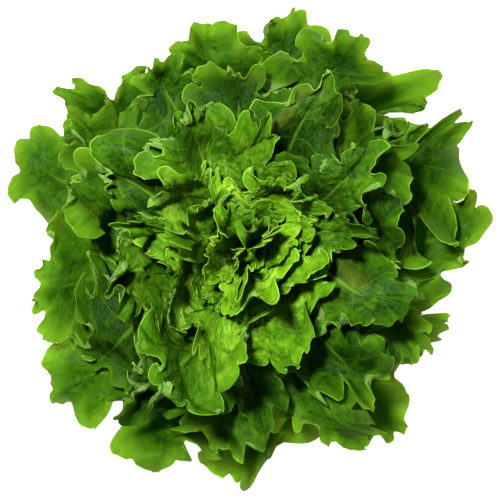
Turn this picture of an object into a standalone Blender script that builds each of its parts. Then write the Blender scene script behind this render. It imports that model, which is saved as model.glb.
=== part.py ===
"""Head of oak leaf lettuce: separate leaves in a rising spiral around a short cut stem.

Lengths are in metres and angles in degrees, and the head stands on the cut face of its stem with
+Z up. Each leaf is drawn flat, as a midrib with veins that fan out to a lobed margin. It is then
laid on a curved layer of its own, and rippled there, but never by more than half the way to the
leaf above or below it. So the leaves lie close together without crossing.
"""
import math
from collections import namedtuple

import bmesh
import bpy
import numpy as np

# The spiral: each leaf grows this far round the stem from the one below it
GOLDEN_ANGLE = 137.508
FIRST_AZIMUTH = 168.0
SEED = 12

# A whorl is a run of leaves of one size, from the ground upwards.
# reach: how far the tips come from the axis, seen from above
# droop: how much a leaf's slope falls between its root and its tip
# rise_low, rise_high: slope at the root, of the whorl's first leaf and its last
# half_width: half of the blade's width
# depth: how deep the notches between the lobes are, as a share of the vein's length
# wave, frill: the steepest slope of the broad waves, and of the small ones at the margin
# taper: how much less the whorl's last leaf reaches, as a share
# columns, rows: veins of the grid, and shares along each vein from the midrib to the margin
Whorl = namedtuple("Whorl", "name count reach droop rise_low rise_high half_width lobes depth "
                            "wave wave_length frill frill_length cup taper columns rows")
BROAD_ROWS = (0.0, 0.42, 0.78, 1.0)
SMALL_ROWS = (0.0, 0.52, 1.0)
WHORLS = (
    Whorl("outer", 13, 0.137, 26, 9, 24, 0.047, 4.6, 0.22, 50, 0.044, 34, 0.016, 8, 0.0, 29, BROAD_ROWS),
    Whorl("second", 11, 0.127, 34, 27, 39, 0.044, 4.6, 0.22, 57, 0.040, 44, 0.014, 10, 0.09, 27, BROAD_ROWS),
    Whorl("third", 10, 0.106, 42, 42, 52, 0.040, 4.4, 0.20, 62, 0.036, 56, 0.013, 12, 0.09, 23, BROAD_ROWS),
    Whorl("fourth", 8, 0.080, 48, 55, 64, 0.035, 4.2, 0.20, 64, 0.030, 66, 0.011, 12, 0.09, 23, SMALL_ROWS),
    Whorl("fifth", 7, 0.054, 52, 67, 75, 0.029, 3.6, 0.18, 64, 0.026, 70, 0.010, 12, 0.09, 19, SMALL_ROWS),
    Whorl("heart", 6, 0.030, 52, 78, 86, 0.021, 3.2, 0.16, 58, 0.021, 70, 0.009, 12, 0.09, 15, SMALL_ROWS),
)
HEART_WHORLS = ("fifth", "heart")

# Outline of the head from above: azimuth of each tip or dip, and its radius
OUTLINE = ((8, 0.141), (30, 0.151), (46, 0.136), (65, 0.148), (83, 0.133), (107, 0.133), (134, 0.143),
           (157, 0.151), (180, 0.129), (200, 0.129), (219, 0.150), (243, 0.147), (262, 0.146),
           (282, 0.140), (300, 0.145), (318, 0.120), (338, 0.129))
MEAN_OUTLINE = 0.139

# The stem: leaves root on it from FIRST_ROOT up to LAST_ROOT, and those of the heart a step higher
FIRST_ROOT, LAST_ROOT = 0.006, 0.038
ROOT_RADIUS_LOW, ROOT_RADIUS_TOP = 0.015, 0.003
CUT_CHAMFER = 0.0012
STEM_SIDES = 24
PIECE_GAP = 0.0004
HEART_STEP = 0.0030

# The blade
LAMINA = 0.0008
RIB_EXTRA = 0.0012
ROOT_HALF_WIDTH = 0.003
LEAST_GAP = 0.0042
FLOOR_GAP = 0.0012
FREE_ROOM = 0.026
COVER_EDGE = 0.003
COVER_FADE = 0.010
WRAP_RADIUS = 0.008
DROOP_POWER = 1.8
VEIN_STEPS = 61

MIDRIB_WAVE = 0.0035

# The whole head leans and swells by these, smoothly, with all its leaves together
SWAY, SWAY_LENGTH = 0.0045, 0.078
NEST, NEST_UP_LENGTH, NEST_OUT_LENGTH = 0.0050, 0.044, 0.040

# Colour and roughness: the leaves brighten from the ground to the heart
OUTER_GREEN = (0.060, 0.160, 0.010)
INNER_GREEN = (0.140, 0.330, 0.020)
HEART_GREEN = (0.210, 0.420, 0.040)
STEM_CREAM = (0.680, 0.700, 0.420)
LEAF_ROUGHNESS = 0.45
STEM_ROUGHNESS = 0.55

Leaf = namedtuple("Leaf", "number whorl azimuth length rise half_width root_r root_z "
                          "sweep depth wave phase curl")


def clear_scene():
    for thing in list(bpy.data.objects):
        bpy.data.objects.remove(thing)


def ease(x):
    """Smooth step from 0 to 1."""
    x = np.clip(x, 0.0, 1.0)
    return x * x * (3.0 - 2.0 * x)


class Ripple:
    """Smooth value that wanders over space: sine waves in seeded directions."""

    def __init__(self, seed, wave_length, terms, size):
        rng = np.random.default_rng(seed)
        direction = rng.normal(size=(terms, size))
        direction /= np.linalg.norm(direction, axis=1)[:, None]
        self.step = direction * (2 * math.pi / wave_length) * rng.uniform(0.6, 1.35, (terms, 1))
        self.start = rng.uniform(0, 2 * math.pi, terms)
        self.scale = 1 / math.sqrt(terms / 2)

    def __call__(self, points):
        return np.sin(points @ self.step.T + self.start).sum(-1) * self.scale


# The spiral of leaves

def outline_radius(azimuth):
    turns = np.array([row[0] for row in OUTLINE] + [OUTLINE[0][0] + 360.0])
    radii = np.array([row[1] for row in OUTLINE] + [OUTLINE[0][1]])
    return float(np.interp((azimuth - turns[0]) % 360 + turns[0], turns, radii))


def leaf_length(reach, root_r, rise, droop):
    """Length of a leaf that ends at radius reach."""
    t = np.linspace(0, 1, 101)
    return (reach - root_r) / np.cos(np.radians(rise - droop * t ** DROOP_POWER)).mean()


def make_leaves():
    rng = np.random.default_rng(SEED)
    last = sum(whorl.count for whorl in WHORLS) - 1
    leaves = []
    for whorl in WHORLS:
        for k in range(whorl.count):
            number = len(leaves)
            height = number / last
            share = k / max(whorl.count - 1, 1)
            draw = rng.uniform(-1, 1, 8)
            rise = whorl.rise_low + (whorl.rise_high - whorl.rise_low) * share
            root_r = ROOT_RADIUS_LOW + (ROOT_RADIUS_TOP - ROOT_RADIUS_LOW) * height
            root_z = FIRST_ROOT + (LAST_ROOT - FIRST_ROOT) * height
            if whorl.name in HEART_WHORLS:
                root_z += HEART_STEP
            azimuth = number * GOLDEN_ANGLE + FIRST_AZIMUTH + 5 * draw[0]
            reach = whorl.reach * (1 + 0.04 * draw[1] - whorl.taper * share)
            reach *= 1 + (outline_radius(azimuth) / MEAN_OUTLINE - 1) * (1 - height)
            leaves.append(Leaf(
                number=number, whorl=whorl, azimuth=azimuth, rise=rise, root_r=root_r, root_z=root_z,
                length=leaf_length(reach, root_r, rise, whorl.droop),
                half_width=whorl.half_width * (1 + 0.12 * draw[2]), sweep=10 * draw[3],
                depth=whorl.depth * (1 + 0.3 * draw[4]), wave=whorl.wave * (1 + 0.2 * draw[5]),
                phase=math.pi * draw[6], curl=25 * draw[7]))
    return leaves


# A leaf laid flat: veins are numbered from -1 and 1 at the root to 0 at the tip

def vein_numbers(columns):
    """Veins of the grid, closest together along the lobes."""
    even = np.linspace(-1, 1, columns)
    return even * (0.8 + 0.2 * np.abs(even) ** 3)


def smooth_through(x, knots, values):
    """Smooth curve through the values at the knots."""
    slope = np.gradient(values, knots)
    i = np.clip(np.searchsorted(knots, x) - 1, 0, len(knots) - 2)
    gap = knots[i + 1] - knots[i]
    t = (x - knots[i]) / gap
    start = (2 * t ** 3 - 3 * t ** 2 + 1) * values[i] + (t ** 3 - 2 * t ** 2 + t) * gap * slope[i]
    end = (3 * t ** 2 - 2 * t ** 3) * values[i + 1] + (t ** 3 - t ** 2) * gap * slope[i + 1]
    return start + end


def vein_length(leaf, vein):
    """Length of a vein, from the midrib to the margin, with the lobes left out."""
    width = leaf.half_width
    root = 0.20 * width + ROOT_HALF_WIDTH
    knots = np.array([0, 0.1, 0.2, 0.3, 0.4, 0.55, 0.7, 0.85, 1.0])
    shares = np.array([0.62, 0.67, 0.80, 0.95, 1.02, 0.92, 0.62, 0.36, root / width])
    return smooth_through(np.abs(vein), knots, shares * width)


def lobe_share(leaf, vein):
    """What the notches between the lobes leave of a vein."""
    away = np.abs(vein)
    side = np.where(vein < 0, 0.16, -0.16) * math.sin(leaf.phase * 3)
    turn = away * leaf.whorl.lobes + side * np.minimum(away * 6, 1)
    notch = np.clip(0.5 - 0.5 * np.cos(2 * math.pi * turn), 0, 1) ** 2.0
    return 1 - leaf.depth * notch * (1 - np.clip((away - 0.74) / 0.2, 0, 1))


def lay_flat(leaf, vein, share):
    """Places along and across the midrib, with each vein's start, length and lean from it."""
    away = np.abs(vein)
    start = (leaf.length - 0.62 * leaf.half_width) * (1 - away ** 1.5)
    lean = np.radians(82) * (1 - (1 - np.clip(away / 0.5, 0, 1)) ** 2) * np.sign(vein)
    length = vein_length(leaf, vein) * lobe_share(leaf, vein)
    along = start + share * length * np.cos(lean)
    across = share * length * np.sin(lean)
    return along, across, start, length, lean


def margin_distance(leaf, vein):
    """Distance along the margin from the tip."""
    fine = np.linspace(-1, 1, 801)
    along, across = lay_flat(leaf, fine, np.ones_like(fine))[:2]
    steps = np.hypot(np.diff(along), np.diff(across))
    distance = np.concatenate([[0], np.cumsum(steps)])
    return np.interp(vein, fine, distance - np.interp(0, fine, distance))


def width_table(leaf):
    """Half width of the leaf, lobes left out, at distances from its root."""
    fine = np.linspace(0, 1, 200)
    along, across = lay_flat(leaf._replace(depth=0.0), fine, np.ones_like(fine))[:2]
    grid = np.linspace(-0.005, leaf.length + 0.005, 80)
    near = np.abs(along[None, :] - grid[:, None]) < 0.005
    return grid, np.where(near, across[None, :], 0).max(axis=1)


# Layers: each leaf follows a curve that leaves the stem upwards and droops outwards

def layer(leaf, distance):
    """Radius, height and slope of the leaf's layer at a distance from its root."""
    step = np.linspace(0, 1.4 * leaf.length + 0.060, 400)
    share = np.minimum(step / leaf.length, 1.15)
    slope = np.radians(leaf.rise - leaf.whorl.droop * share ** DROOP_POWER)
    middle = (slope[1:] + slope[:-1]) / 2
    radius = leaf.root_r + np.concatenate([[0], np.cumsum(np.cos(middle) * step[1])])
    height = leaf.root_z + np.concatenate([[0], np.cumsum(np.sin(middle) * step[1])])
    return tuple(np.interp(distance, step, value) for value in (radius, height, slope))


def layer_gaps(leaves):
    """For each pair of leaves: gap from the first one's layer up to the second's, along the first."""
    far = np.linspace(0, 0.170, 120)
    others = [layer(leaf, far)[:2] for leaf in leaves]
    gaps = {}
    for i, leaf in enumerate(leaves):
        along = np.linspace(0, leaf.length * 1.12, 48)
        radius, height, slope = layer(leaf, along)
        for j, (other_r, other_z) in enumerate(others):
            if i == j:
                continue
            dr = other_r - radius[:, None]
            dz = other_z - height[:, None]
            size = np.hypot(dr, dz)
            near = size.argmin(axis=1)
            rows = np.arange(len(along))
            above = dz[rows, near] * np.cos(slope) - dr[rows, near] * np.sin(slope)
            gaps[i, j] = (along, np.sign(above) * size[rows, near], far[near])
    return gaps


def wrap(angle):
    return (angle + math.pi) % (2 * math.pi) - math.pi


class Head:
    """All the leaves, and the room that each one has between its neighbours."""

    def __init__(self):
        self.leaves = make_leaves()
        self.gaps = layer_gaps(self.leaves)
        self.widths = [width_table(leaf) for leaf in self.leaves]
        self.sway = [Ripple(50 + axis, SWAY_LENGTH, 7, 3) for axis in range(3)]
        self.nest_up = Ripple(81, NEST_UP_LENGTH, 9, 2)
        self.nest_out = Ripple(82, NEST_OUT_LENGTH, 9, 3)

    def azimuth(self, leaf, along):
        return math.radians(leaf.azimuth) + math.radians(leaf.sweep) * (along / leaf.length) ** 2

    def room(self, leaf, along, turn):
        """The lowest and the highest place, measured from its layer, that the leaf may take."""
        high = np.full(along.shape, FREE_ROOM)
        low = np.full(along.shape, -FREE_ROOM)
        for other in self.leaves:
            if other.number == leaf.number:
                continue
            at, gap, far = self.gaps[leaf.number, other.number]
            gap = np.interp(along, at, gap)
            far = np.interp(along, at, far)
            across = wrap(turn - self.azimuth(other, far)) * (layer(other, far)[0] + WRAP_RADIUS)
            half = np.interp(far, *self.widths[other.number])
            edge = COVER_EDGE + COVER_FADE
            beside = np.clip((half + edge - np.abs(across)) / COVER_FADE, 0, 1)
            beyond = np.clip((other.length + edge - far) / COVER_FADE, 0, 1)
            free = FREE_ROOM * (1 - ease(beside * beyond)) ** 1.5
            if other.number > leaf.number:
                high = np.minimum(high, gap / 2 - LEAST_GAP / 2 + free)
            else:
                low = np.maximum(low, gap / 2 + LEAST_GAP / 2 - free)
        return low, np.maximum(high, low + 0.0002)

    def slopes(self, leaf, vein, share, along, across):
        """Slope of the blade along each vein: broad waves, a curled tip and a turned-up margin."""
        whorl = leaf.whorl
        wander = Ripple(100 + leaf.number, 0.060, 5, 2)
        place = np.stack([along, across], -1)
        loose = ease((along / leaf.length - 0.12) / 0.4)
        tip = ease(1 - np.abs(vein) / 0.38)
        turn = 2 * math.pi * margin_distance(leaf, vein) / whorl.wave_length
        wave = 0.35 + np.sin(turn + leaf.phase + 1.1 * wander(place))
        slope = math.radians(whorl.cup) + math.radians(leaf.wave) * share ** 1.4 * wave * loose
        slope += math.radians(leaf.curl) * tip * share ** 1.2
        slope += math.radians(whorl.frill) * share ** 3.5 * (0.3 + 0.5 * wander(place * 0.8 + 0.090))
        return np.clip(slope, -2.1, 2.3)

    def blade(self, leaf):
        """Rows of points of the blade's middle surface, and their places along the midrib."""
        vein, share = np.meshgrid(vein_numbers(leaf.whorl.columns), np.linspace(0, 1, VEIN_STEPS))
        along, across, start, length, lean = lay_flat(leaf, vein, share)
        slope = self.slopes(leaf, vein, share, along, across)
        flat = run_along(np.cos(slope), length / (VEIN_STEPS - 1))
        height = run_along(np.sin(slope), length / (VEIN_STEPS - 1))
        height += self.midrib_wave(leaf, start)
        rows = np.round(np.array(leaf.whorl.rows) * (VEIN_STEPS - 1)).astype(int)
        along = (start + flat * np.cos(lean))[rows]
        across = (flat * np.sin(lean))[rows]
        return self.lay_on_layer(leaf, along, across, height[rows]), along

    def midrib_wave(self, leaf, start):
        wander = Ripple(100 + leaf.number, 0.060, 5, 2)
        loose = np.clip(start / leaf.length * 2.5 - 0.3, 0, 1)
        return MIDRIB_WAVE * loose * wander(np.stack([start * 1.3, 0 * start], -1))

    def lay_on_layer(self, leaf, along, across, height):
        radius, level, slope = layer(leaf, along)
        turn = self.azimuth(leaf, along) + across / (radius + WRAP_RADIUS)
        low, high = self.room(leaf, along, turn)
        low = np.maximum(low, (FLOOR_GAP - level) / np.maximum(np.cos(slope), 0.3))
        high = np.maximum(high, low + 0.0002)
        rest = np.clip(0, low + 0.0001, high - 0.0001)
        up = (high - rest) * np.tanh(height / (high - rest))
        down = (rest - low) * np.tanh(height / (rest - low))
        moved = rest + np.where(height > 0, up, down)
        radius = np.maximum(radius - moved * np.sin(slope), 0.0006)
        level = level + moved * np.cos(slope)
        return self.sway_all(np.stack([radius * np.cos(turn), radius * np.sin(turn), level], -1))

    def sway_all(self, points):
        """Bends the space that the head stands in, so that leaves which are clear stay clear."""
        far = ease((np.linalg.norm(points, axis=-1) - 0.025) / 0.060)
        lift = np.clip((points[..., 2] - 0.004) / 0.030, 0, 1)
        strength = (far, far, far * lift)
        points = points + np.stack([SWAY * strength[k] * self.sway[k](points) for k in range(3)], -1)
        points[..., 2] += NEST * far * lift * self.nest_up(points[..., :2])
        radius = np.hypot(points[..., 0], points[..., 1])
        turn = np.arctan2(points[..., 1], points[..., 0])
        around = np.stack([0.062 * np.cos(turn), 0.062 * np.sin(turn), 0.8 * points[..., 2]], -1)
        grow = NEST * far * np.clip((radius - 0.012) / 0.040, 0, 1) * self.nest_out(around)
        points[..., 0] += grow * np.cos(turn)
        points[..., 1] += grow * np.sin(turn)
        return points


def run_along(rate, step):
    """Running total of a rate down the columns."""
    mean = (rate[1:] + rate[:-1]) / 2 * step[1:]
    return np.concatenate([np.zeros((1, rate.shape[1])), np.cumsum(mean, axis=0)])


# Solids

def blade_faces(rows, columns):
    """Triangles of a blade. Its first row is the midrib, where veins of both sides share a point."""
    middle = (columns - 1) // 2

    def point(row, column):
        if row == 0:
            return min(column, columns - 1 - column)
        return middle + 1 + (row - 1) * columns + column

    faces = []
    for row in range(rows - 1):
        for column in range(columns - 1):
            a, b = point(row, column), point(row, column + 1)
            c, d = point(row + 1, column + 1), point(row + 1, column)
            left = column < middle
            place = middle - 1 - column if left else column - middle
            if ((place + row) % 2 == 0) == left:
                faces += [(a, b, d), (b, c, d)]
            else:
                faces += [(a, b, c), (a, c, d)]
    return faces


def point_normals(points, faces):
    corners = points[np.array(faces)]
    flat = np.cross(corners[:, 1] - corners[:, 0], corners[:, 2] - corners[:, 0])
    normals = np.zeros_like(points)
    for k in range(3):
        np.add.at(normals, np.array(faces)[:, k], flat)
    return normals / np.linalg.norm(normals, axis=1)[:, None]


def thicken(points, faces, thickness):
    """Closed skin around a surface, triangulated alike on both sides so that they can't cross."""
    half = point_normals(points, faces) * thickness[:, None] / 2
    count = len(points)
    edges = {(face[k], face[(k + 1) % 3]) for face in faces for k in range(3)}
    rim = [(a, b) for a, b in sorted(edges) if (b, a) not in edges]
    skin = list(faces) + [(c + count, b + count, a + count) for a, b, c in faces]
    for a, b in rim:
        skin += [(b, a, a + count), (b, a + count, b + count)]
    return np.vstack([points + half, points - half]), skin


def new_object(name, points, faces):
    mesh = bpy.data.meshes.new(name)
    mesh.from_pydata([tuple(point) for point in points], [], faces)
    work = bmesh.new()
    work.from_mesh(mesh)
    if work.calc_volume(signed=True) < 0:
        bmesh.ops.reverse_faces(work, faces=work.faces)
    work.to_mesh(mesh)
    work.free()
    thing = bpy.data.objects.new(name, mesh)
    bpy.context.scene.collection.objects.link(thing)
    return thing


def make_leaf(head, leaf, name):
    points, along = head.blade(leaf)
    columns = leaf.whorl.columns
    middle = (columns - 1) // 2
    rib = RIB_EXTRA * np.clip(1 - along[0, : middle + 1] / leaf.length, 0, 1)
    thickness = np.full((len(points) - 1) * columns, LAMINA)
    packed = np.concatenate([points[0, : middle + 1], points[1:].reshape(-1, 3)])
    faces = blade_faces(len(points), columns)
    return new_object(name, *thicken(packed, faces, np.concatenate([LAMINA + rib, thickness])))


def turned(name, profile):
    """Solid of revolution about Z from (radius, height) pairs, closed at both ends."""
    work = bmesh.new()
    rings = []
    for radius, height in profile:
        ring = bmesh.ops.create_circle(work, segments=STEM_SIDES, radius=radius, cap_ends=False)["verts"]
        bmesh.ops.translate(work, verts=ring, vec=(0, 0, height))
        rings.append(ring)
    for low, high in zip(rings, rings[1:]):
        for k in range(STEM_SIDES):
            work.faces.new((low[k], low[(k + 1) % STEM_SIDES], high[(k + 1) % STEM_SIDES], high[k]))
    work.faces.new(rings[0][::-1])
    work.faces.new(rings[-1])
    bmesh.ops.recalc_face_normals(work, faces=work.faces)
    mesh = bpy.data.meshes.new(name)
    work.to_mesh(mesh)
    work.free()
    thing = bpy.data.objects.new(name, mesh)
    bpy.context.scene.collection.objects.link(thing)
    return thing


def root_radius(height):
    """Radius at which leaves root, at a height up the stem."""
    share = (height - FIRST_ROOT) / (LAST_ROOT - FIRST_ROOT)
    return ROOT_RADIUS_LOW + (ROOT_RADIUS_TOP - ROOT_RADIUS_LOW) * share


def make_stem(top):
    """The cut butt and the axis above it, just inside the roots of the leaves."""
    inset = PIECE_GAP + (LAMINA + RIB_EXTRA) / 2
    butt = ROOT_RADIUS_LOW - inset
    profile = [(butt - CUT_CHAMFER, 0.0), (butt, CUT_CHAMFER), (butt, FIRST_ROOT)]
    for height in np.linspace(FIRST_ROOT, top, 6)[1:]:
        profile.append((root_radius(height) - inset, height))
    return turned("stem", profile)


def make_core(bottom):
    """The growing point, which the heart leaves stand out of."""
    sink = LAMINA / 2
    profile = [(root_radius(bottom - HEART_STEP) - 3 * sink, bottom - 3 * sink)]
    for height in np.linspace(bottom, LAST_ROOT + HEART_STEP, 4):
        profile.append((root_radius(height - HEART_STEP) - sink, height))
    return turned("heart", profile + [(0.0008, LAST_ROOT + 2 * HEART_STEP)])


def fuse(base, others):
    """Joins the others to the base as one solid, and removes them."""
    group = bpy.data.collections.new("heart_leaves")
    bpy.context.scene.collection.children.link(group)
    for thing in others:
        group.objects.link(thing)
    union = base.modifiers.new("union", "BOOLEAN")
    union.operation = "UNION"
    union.operand_type = "COLLECTION"
    union.collection = group
    union.solver = "MANIFOLD"
    mesh = bpy.data.meshes.new_from_object(base.evaluated_get(bpy.context.evaluated_depsgraph_get()))
    base.modifiers.clear()
    base.data = mesh
    for thing in others:
        bpy.data.objects.remove(thing)
    bpy.data.collections.remove(group)


# Materials

def blend(first, second, share):
    return tuple(a + (b - a) * share for a, b in zip(first, second))


def paint(thing, colour, roughness):
    material = bpy.data.materials.new(thing.name)
    material.use_nodes = True
    shader = material.node_tree.nodes["Principled BSDF"]
    shader.inputs["Base Color"].default_value = (*colour, 1.0)
    shader.inputs["Roughness"].default_value = roughness
    shader.inputs["Metallic"].default_value = 0.0
    material.diffuse_color = (*colour, 1.0)
    thing.data.materials.clear()
    thing.data.materials.append(material)


def build():
    clear_scene()
    head = Head()
    outside = [leaf for leaf in head.leaves if leaf.whorl.name not in HEART_WHORLS]
    inside = [leaf for leaf in head.leaves if leaf.whorl.name in HEART_WHORLS]
    for leaf in outside:
        thing = make_leaf(head, leaf, f"leaf_{leaf.number + 1:02d}")
        paint(thing, blend(OUTER_GREEN, INNER_GREEN, leaf.number / len(outside)), LEAF_ROUGHNESS)
    paint(make_stem(outside[-1].root_z), STEM_CREAM, STEM_ROUGHNESS)
    heart = make_core(inside[0].root_z)
    fuse(heart, [make_leaf(head, leaf, f"inner_{leaf.number:02d}") for leaf in inside])
    paint(heart, HEART_GREEN, LEAF_ROUGHNESS)


build()
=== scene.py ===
"""Oak leaf lettuce head: finely waved leaves, their materials, a pale floor and soft light.

Lengths are in metres and angles in degrees, unless a comment says otherwise. Every leaf follows the
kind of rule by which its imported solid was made, on a finer grid, with some sizes of its own and with
what only the render needs: deep notches, lobes that curl one by one, ruffled and scalloped margins,
crumples, blisters between the veins and a raised midrib.
"""
import math
from collections import namedtuple

import bmesh
import bpy
import numpy as np
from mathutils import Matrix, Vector


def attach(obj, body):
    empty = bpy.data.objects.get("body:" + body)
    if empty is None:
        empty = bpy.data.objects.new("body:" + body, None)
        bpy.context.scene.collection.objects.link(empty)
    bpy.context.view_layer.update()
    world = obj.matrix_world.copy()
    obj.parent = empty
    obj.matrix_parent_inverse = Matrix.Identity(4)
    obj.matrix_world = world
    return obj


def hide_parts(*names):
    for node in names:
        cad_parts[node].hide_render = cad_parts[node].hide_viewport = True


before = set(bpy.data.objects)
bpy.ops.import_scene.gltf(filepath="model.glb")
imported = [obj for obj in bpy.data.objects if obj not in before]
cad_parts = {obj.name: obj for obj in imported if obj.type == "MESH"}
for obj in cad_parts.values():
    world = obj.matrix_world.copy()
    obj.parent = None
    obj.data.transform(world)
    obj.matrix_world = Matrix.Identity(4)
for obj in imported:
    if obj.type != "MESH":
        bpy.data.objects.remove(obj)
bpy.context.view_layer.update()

# The spiral: each leaf grows this far round the stem from the one below it
GOLDEN_ANGLE = 137.508
FIRST_AZIMUTH = 168.0
SEED = 12

# A whorl is a run of leaves of one size, from the ground upwards: how far the tips reach, how much
# the slope falls from root to tip, the slope at the root of its first and last leaf, the blade's
# half width, its lobes a side and their depth, the steepest slope and the length of its broad waves,
# the lengths of its ruffles and of its frill, how it is cupped, how its margin flares back out, how
# its tip turns up, how much less the whorl's last leaf reaches, how freely each lobe curls, how much
# longer the margin has grown than a flat one, and the columns and rows of the grid
Whorl = namedtuple("Whorl", "name count reach droop rise_low rise_high half_width lobes depth "
                            "wave wave_length ruffle_length frill_length "
                            "cup flare tip taper freedom growth columns rows")
WHORLS = (
    Whorl("outer", 13, 0.137, 26, 9, 24, 0.052, 7.6, 0.45,
          46, 0.044, 0.030, 0.014, 6, 0.0, 0, 0.00, 0.65, 0.50, 191, 24),
    Whorl("second", 11, 0.127, 34, 27, 39, 0.048, 7.8, 0.46,
          48, 0.040, 0.026, 0.013, 18, 0.5, 5, 0.09, 1.00, 0.75, 191, 24),
    Whorl("third", 10, 0.106, 42, 42, 52, 0.046, 6.8, 0.34,
          44, 0.038, 0.022, 0.011, 24, 1.0, 5, 0.09, 1.00, 0.75, 191, 24),
    Whorl("fourth", 8, 0.080, 48, 55, 64, 0.042, 6.4, 0.25,
          36, 0.034, 0.018, 0.009, 26, 1.0, 32, 0.09, 1.00, 0.95, 191, 24),
    Whorl("fifth", 7, 0.056, 56, 67, 75, 0.044, 7.4, 0.24,
          28, 0.030, 0.016, 0.008, 24, 1.0, 50, 0.09, 1.00, 1.05, 181, 22),
    Whorl("heart", 6, 0.036, 60, 78, 86, 0.034, 6.0, 0.22,
          24, 0.024, 0.012, 0.007, 20, 1.0, 45, 0.09, 1.00, 1.05, 161, 18),
)
HEART_WHORLS = ("fifth", "heart")

# Outline of the head from above: azimuth of each tip or dip, and its radius
OUTLINE = ((8, 0.137), (30, 0.158), (46, 0.131), (65, 0.154), (83, 0.135), (107, 0.135), (134, 0.149),
           (157, 0.151), (180, 0.136), (208, 0.120), (219, 0.143), (243, 0.150), (262, 0.143),
           (272, 0.142), (284, 0.153), (300, 0.153), (318, 0.125), (338, 0.145), (352, 0.141))
MEAN_OUTLINE = 0.139

# How far a leaf may differ from its whorl: in degrees, or as a share of the whorl's own value
AZIMUTH_SPREAD, SWEEP_SPREAD, CURL_SPREAD = 5, 10, 25
REACH_SPREAD, WIDTH_SPREAD, DEPTH_SPREAD, WAVE_SPREAD = 0.04, 0.12, 0.3, 0.2

# The stem: leaves root on it from FIRST_ROOT up to LAST_ROOT, and those of the heart a step higher
FIRST_ROOT, LAST_ROOT = 0.006, 0.038
ROOT_RADIUS_LOW, ROOT_RADIUS_TOP = 0.015, 0.003
CUT_CHAMFER = 0.0012
HEART_STEP = 0.0030
STEM_INSET = 0.0014
STEM_SIDES = 96
STEM_DENT, STEM_DENT_LENGTH = 0.00035, 0.011
CUT_RIM, FIRST_RING = 0.0003, 0.0024
BUTT_RINGS, CORE_RINGS = 14, 8
CORE_TIP, CORE_GAP, CORE_TOP = 0.0012, 0.0002, 0.0015

# The blade: its thickness, thinner at the margin, the rib under it, and how its layer droops. From
# STRAIGHT_FROM of its length on, a layer goes straight on
LAMINA = 0.00045
EDGE_SHARE = 0.45
RIB_HEIGHT, RIB_WIDTH = 0.0022, 0.0024
ROOT_HALF_WIDTH = 0.003
DROOP_POWER = 1.8
STRAIGHT_FROM = 1.15
MIDRIB_WAVE = 0.0035

# The veins: how many a side, points worked out along each line of the grid, length at the tip as a
# share of the half width, how their starts crowd towards the tip, and how far they lean from the midrib
VEINS = 6
VEIN_STEPS = 121
TIP_SHARE = 0.62
START_POWER = 1.5
VEIN_LEAN = 82

# The lobes: the shape of a notch, the shares of the leaf's notch depth that one may take and that the
# one beside the tip takes, how uneven the widths are, and how far a lobe curls and cups. LOBE_SLOTS is
# more than any leaf has, and LOBE_MIDDLE is the slot of the lobe at the tip
NOTCH_POWER = 2.2
BITE_LOW, BITE_HIGH, TIP_BITE = 0.55, 1.40, 0.45
LOBE_SLOTS, LOBE_MIDDLE = 24, 12
LOBE_UNEVEN, LOBE_PERIOD = 0.20, 2.7
LOBE_CURL_LOW, LOBE_CURL_HIGH = -60, 112
LOBE_CUP = 0.0055

# Room between neighbours and above the floor, how far past its edge a leaf still takes room, and how
# softly a blade gives way. WRAP_RADIUS limits how far a blade winds round the stem near its root
LEAST_GAP = 0.0016
LEAST_ROOM = 0.0002
REST_ROOM = 0.0001
LEAST_RADIUS = 0.0006
FLOOR_GAP = 0.0010
FREE_ROOM = 0.026
COVER_EDGE = 0.001
COVER_FADE = 0.007
WIDTH_BIN = 0.005
FARTHEST = 0.170
WRAP_RADIUS = 0.008
SOFTNESS = 0.0015

# Relief and margin. SCALLOP is a share of a vein's length, and the powers keep waves to the margin
CRUMPLE, CRUMPLE_LENGTH = 0.0033, 0.022
BLISTER, BLISTER_LENGTH = 0.0009, 0.011
BULGE = 0.0005
SCALLOP, SCALLOP_LENGTH = 0.012, 0.0090
WANDER_LENGTH, DRIFT_LENGTH, FLUTTER_LENGTH = 0.060, 0.030, 0.040
SWELL_POWER, FRILL_POWER = 2.4, 6.0

# The steepest slopes of a blade along its veins, in radians
SLOPE_LOW, SLOPE_HIGH = -1.4, 1.85

# Settling of a blade whose margin has grown
GROWTH_POWER = 4.5
RELAX_STEPS, LIMIT_STEPS = 120, 30
SHEAR, BEND, CONTACT = 0.5, 0.15, 0.35

# Seeds. Where each leaf or each axis has a draw of its own, its number is added
STEM_SEED, SWAY_SEED, NEST_UP_SEED, NEST_OUT_SEED = 41, 50, 81, 82
WANDER_SEED, RUFFLE_SEED, BLISTER_SEED, DRIFT_SEED = 100, 150, 400, 600
SCALLOP_SEED, CRUMPLE_SEED, CURL_SEED, BITE_SEED = 700, 900, 1300, 1500

# The whole head leans and swells by these, smoothly, with all its leaves together: from a distance
# onwards, over another distance until it does so in full
SWAY, SWAY_LENGTH = 0.0045, 0.078
SWAY_FROM, SWAY_OVER = 0.025, 0.060
LIFT_FROM, LIFT_OVER = 0.004, 0.030
NEST, NEST_UP_LENGTH, NEST_OUT_LENGTH = 0.0050, 0.044, 0.040
NEST_FROM, NEST_OVER = 0.012, 0.040
NEST_RING, NEST_RISE = 0.062, 0.8

# One leaf of the spiral. Its phase, in radians, shifts all its waves
Leaf = namedtuple("Leaf", "number whorl azimuth length rise half_width root_r root_z "
                          "sweep depth wave phase curl")


def ease(x):
    """Smooth step from 0 to 1."""
    x = np.clip(x, 0.0, 1.0)
    return x * x * (3.0 - 2.0 * x)


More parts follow.
